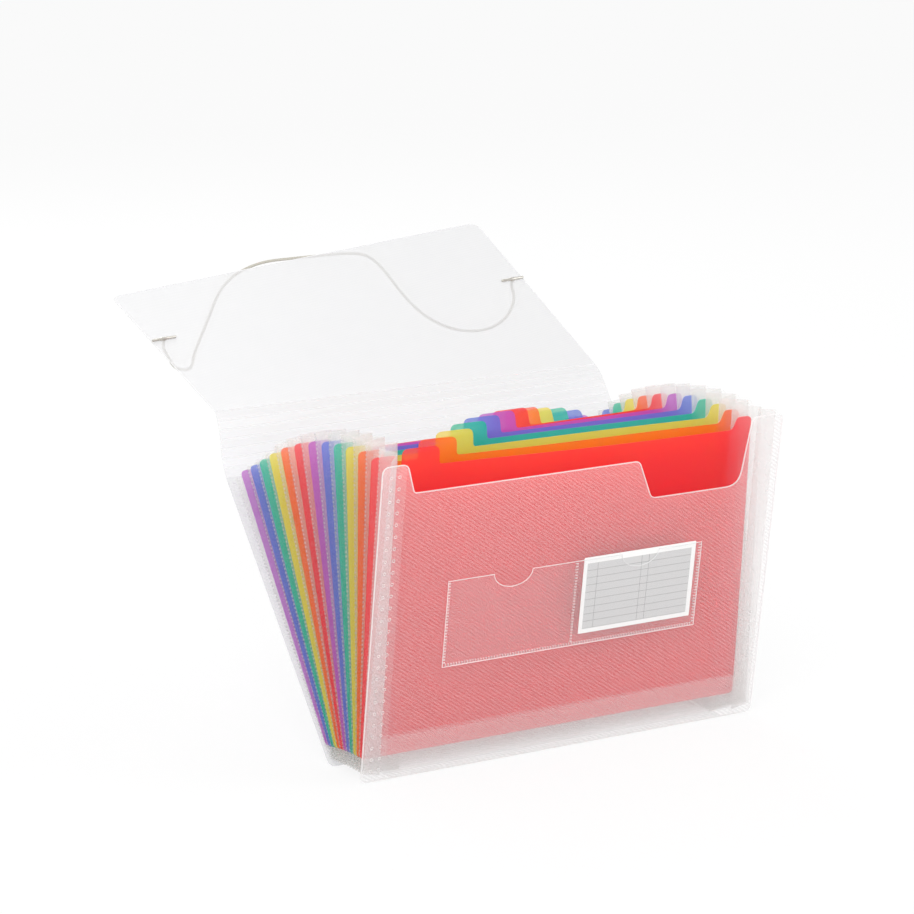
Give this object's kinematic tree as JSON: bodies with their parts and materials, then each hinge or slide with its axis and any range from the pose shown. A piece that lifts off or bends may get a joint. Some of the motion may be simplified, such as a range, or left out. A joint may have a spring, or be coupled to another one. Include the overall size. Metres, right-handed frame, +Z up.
{
  "type": "accordion file folder",
  "caption": "Expanding file with frosted plastic covers, tabbed coloured dividers, pleated side gussets, a card pocket and a fold-over flap with an elastic closure.",
  "frame": {"origin": "middle of the flat underside of the base strip", "axes": "+X along the base towards the right-hand side seen from the front, +Y from the front panel to the back, +Z up"},
  "size_m": [0.33, 0.4356, 0.2948],
  "materials": {
    "frosted_cover": "frosted clear polypropylene sheet with a fine diagonal grain",
    "gusset_film": "thin frosted polypropylene film",
    "pocket_film": "clear film with serrated welds",
    "card": "uncoated ruled paper card",
    "elastic": "white braided round elastic",
    "bar_metal": "nickel-plated steel",
    "divider_red": "translucent coloured polypropylene sheet",
    "divider_orange": "translucent coloured polypropylene sheet",
    "divider_yellow": "translucent coloured polypropylene sheet",
    "divider_green": "translucent coloured polypropylene sheet",
    "divider_blue": "translucent coloured polypropylene sheet",
    "divider_purple": "translucent coloured polypropylene sheet"
  },
  "bodies": {
    "base": {"base_strip": "gusset_film"},
    "front": {"front_panel": "frosted_cover", "card_pocket": "pocket_film"},
    "card": {"index_card": "card"},
    "leaf_01": {"divider_01": "divider_red", "gusset_01": "gusset_film"},
    "leaf_02": {"divider_02": "divider_orange", "gusset_02": "gusset_film"},
    "leaf_03": {"divider_03": "divider_yellow", "gusset_03": "gusset_film"},
    "leaf_04": {"divider_04": "divider_green", "gusset_04": "gusset_film"},
    "leaf_05": {"divider_05": "divider_blue", "gusset_05": "gusset_film"},
    "leaf_06": {"divider_06": "divider_purple", "gusset_06": "gusset_film"},
    "leaf_07": {"divider_07": "divider_red", "gusset_07": "gusset_film"},
    "leaf_08": {"divider_08": "divider_orange", "gusset_08": "gusset_film"},
    "leaf_09": {"divider_09": "divider_yellow", "gusset_09": "gusset_film"},
    "leaf_10": {"divider_10": "divider_green", "gusset_10": "gusset_film"},
    "leaf_11": {"divider_11": "divider_blue", "gusset_11": "gusset_film"},
    "leaf_12": {"divider_12": "divider_purple", "gusset_12": "gusset_film"},
    "back": {"back_panel": "frosted_cover", "gusset_13": "gusset_film"},
    "spine_lower": {"crease_strip_1": "frosted_cover", "crease_strip_2": "frosted_cover", "crease_strip_3": "frosted_cover"},
    "spine_upper": {"crease_strip_4": "frosted_cover", "crease_strip_5": "frosted_cover", "crease_strip_6": "frosted_cover", "crease_strip_7": "frosted_cover"},
    "flap": {"flap": "frosted_cover", "elastic_cord": "elastic", "cord_end_left": "bar_metal", "cord_end_right": "bar_metal"}
  },
  "joints": [
    {"name": "fan_fold", "type": "hinge", "parent": "base", "child": "back", "pos_m": [0, 0.0216, 0], "axis": [1, 0, 0], "range_deg": [0, 39.3], "deforming": ["gusset_13"]},
    {"name": "front_fold", "type": "hinge", "parent": "base", "child": "front", "pos_m": [0, -0.0216, 0], "axis": [1, 0, 0], "range_deg": [-9.42, 0]},
    {"name": "leaf_fold_01", "type": "hinge", "parent": "base", "child": "leaf_01", "pos_m": [0, -0.01828, 0], "axis": [1, 0, 0], "range_deg": [-5.67, 0], "deforming": ["gusset_01"]},
    {"name": "leaf_fold_02", "type": "hinge", "parent": "base", "child": "leaf_02", "pos_m": [0, -0.01495, 0], "axis": [1, 0, 0], "range_deg": [-1.93, 0], "deforming": ["gusset_02"]},
    {"name": "leaf_fold_03", "type": "hinge", "parent": "base", "child": "leaf_03", "pos_m": [0, -0.01163, 0], "axis": [1, 0, 0], "range_deg": [0, 1.86], "deforming": ["gusset_03"]},
    {"name": "leaf_fold_04", "type": "hinge", "parent": "base", "child": "leaf_04", "pos_m": [0, -0.00831, 0], "axis": [1, 0, 0], "range_deg": [0, 5.6], "deforming": ["gusset_04"]},
    {"name": "leaf_fold_05", "type": "hinge", "parent": "base", "child": "leaf_05", "pos_m": [0, -0.00498, 0], "axis": [1, 0, 0], "range_deg": [0, 9.35], "deforming": ["gusset_05"]},
    {"name": "leaf_fold_06", "type": "hinge", "parent": "base", "child": "leaf_06", "pos_m": [0, -0.00166, 0], "axis": [1, 0, 0], "range_deg": [0, 13.1], "deforming": ["gusset_06"]},
    {"name": "leaf_fold_07", "type": "hinge", "parent": "base", "child": "leaf_07", "pos_m": [0, 0.00166, 0], "axis": [1, 0, 0], "range_deg": [0, 16.84], "deforming": ["gusset_07"]},
    {"name": "leaf_fold_08", "type": "hinge", "parent": "base", "child": "leaf_08", "pos_m": [0, 0.00498, 0], "axis": [1, 0, 0], "range_deg": [0, 20.59], "deforming": ["gusset_08"]},
    {"name": "leaf_fold_09", "type": "hinge", "parent": "base", "child": "leaf_09", "pos_m": [0, 0.00831, 0], "axis": [1, 0, 0], "range_deg": [0, 24.34], "deforming": ["gusset_09"]},
    {"name": "leaf_fold_10", "type": "hinge", "parent": "base", "child": "leaf_10", "pos_m": [0, 0.01163, 0], "axis": [1, 0, 0], "range_deg": [0, 28.08], "deforming": ["gusset_10"]},
    {"name": "leaf_fold_11", "type": "hinge", "parent": "base", "child": "leaf_11", "pos_m": [0, 0.01495, 0], "axis": [1, 0, 0], "range_deg": [0, 31.83], "deforming": ["gusset_11"]},
    {"name": "leaf_fold_12", "type": "hinge", "parent": "base", "child": "leaf_12", "pos_m": [0, 0.01828, 0], "axis": [1, 0, 0], "range_deg": [0, 35.57], "deforming": ["gusset_12"]},
    {"name": "crease_fold_lower", "type": "hinge", "parent": "back", "child": "spine_lower", "pos_m": [0, 0.16693, 0.18468], "axis": [1, 0, 0], "range_deg": [0, 34.42]},
    {"name": "crease_fold_upper", "type": "hinge", "parent": "spine_lower", "child": "spine_upper", "pos_m": [0, 0.17645, 0.2021], "axis": [1, 0, 0], "range_deg": [0, 60.82]},
    {"name": "flap_swing", "type": "hinge", "parent": "spine_upper", "child": "flap", "pos_m": [0, 0.19118, 0.22359], "axis": [1, 0, 0], "range_deg": [-80, 101.8]},
    {"name": "card_slide", "type": "slide", "parent": "front", "child": "card", "axis": [0, -0.1444, 0.9895], "range_m": [0, 0.062]}
  ],
  "couplings": [
    {"joint": "front_fold", "follows": "fan_fold", "ratio": -0.23919},
    {"joint": "leaf_fold_01", "follows": "fan_fold", "ratio": -0.14386},
    {"joint": "leaf_fold_02", "follows": "fan_fold", "ratio": -0.048542},
    {"joint": "leaf_fold_03", "follows": "fan_fold", "ratio": 0.04678},
    {"joint": "leaf_fold_04", "follows": "fan_fold", "ratio": 0.1421},
    {"joint": "leaf_fold_05", "follows": "fan_fold", "ratio": 0.23742},
    {"joint": "leaf_fold_06", "follows": "fan_fold", "ratio": 0.33275},
    {"joint": "leaf_fold_07", "follows": "fan_fold", "ratio": 0.42807},
    {"joint": "leaf_fold_08", "follows": "fan_fold", "ratio": 0.52339},
    {"joint": "leaf_fold_09", "follows": "fan_fold", "ratio": 0.61871},
    {"joint": "leaf_fold_10", "follows": "fan_fold", "ratio": 0.71403},
    {"joint": "leaf_fold_11", "follows": "fan_fold", "ratio": 0.80936},
    {"joint": "leaf_fold_12", "follows": "fan_fold", "ratio": 0.90468},
    {"joint": "crease_fold_lower", "follows": "fan_fold", "ratio": 0.87532},
    {"joint": "crease_fold_upper", "follows": "fan_fold", "ratio": 1.5471}
  ]
}
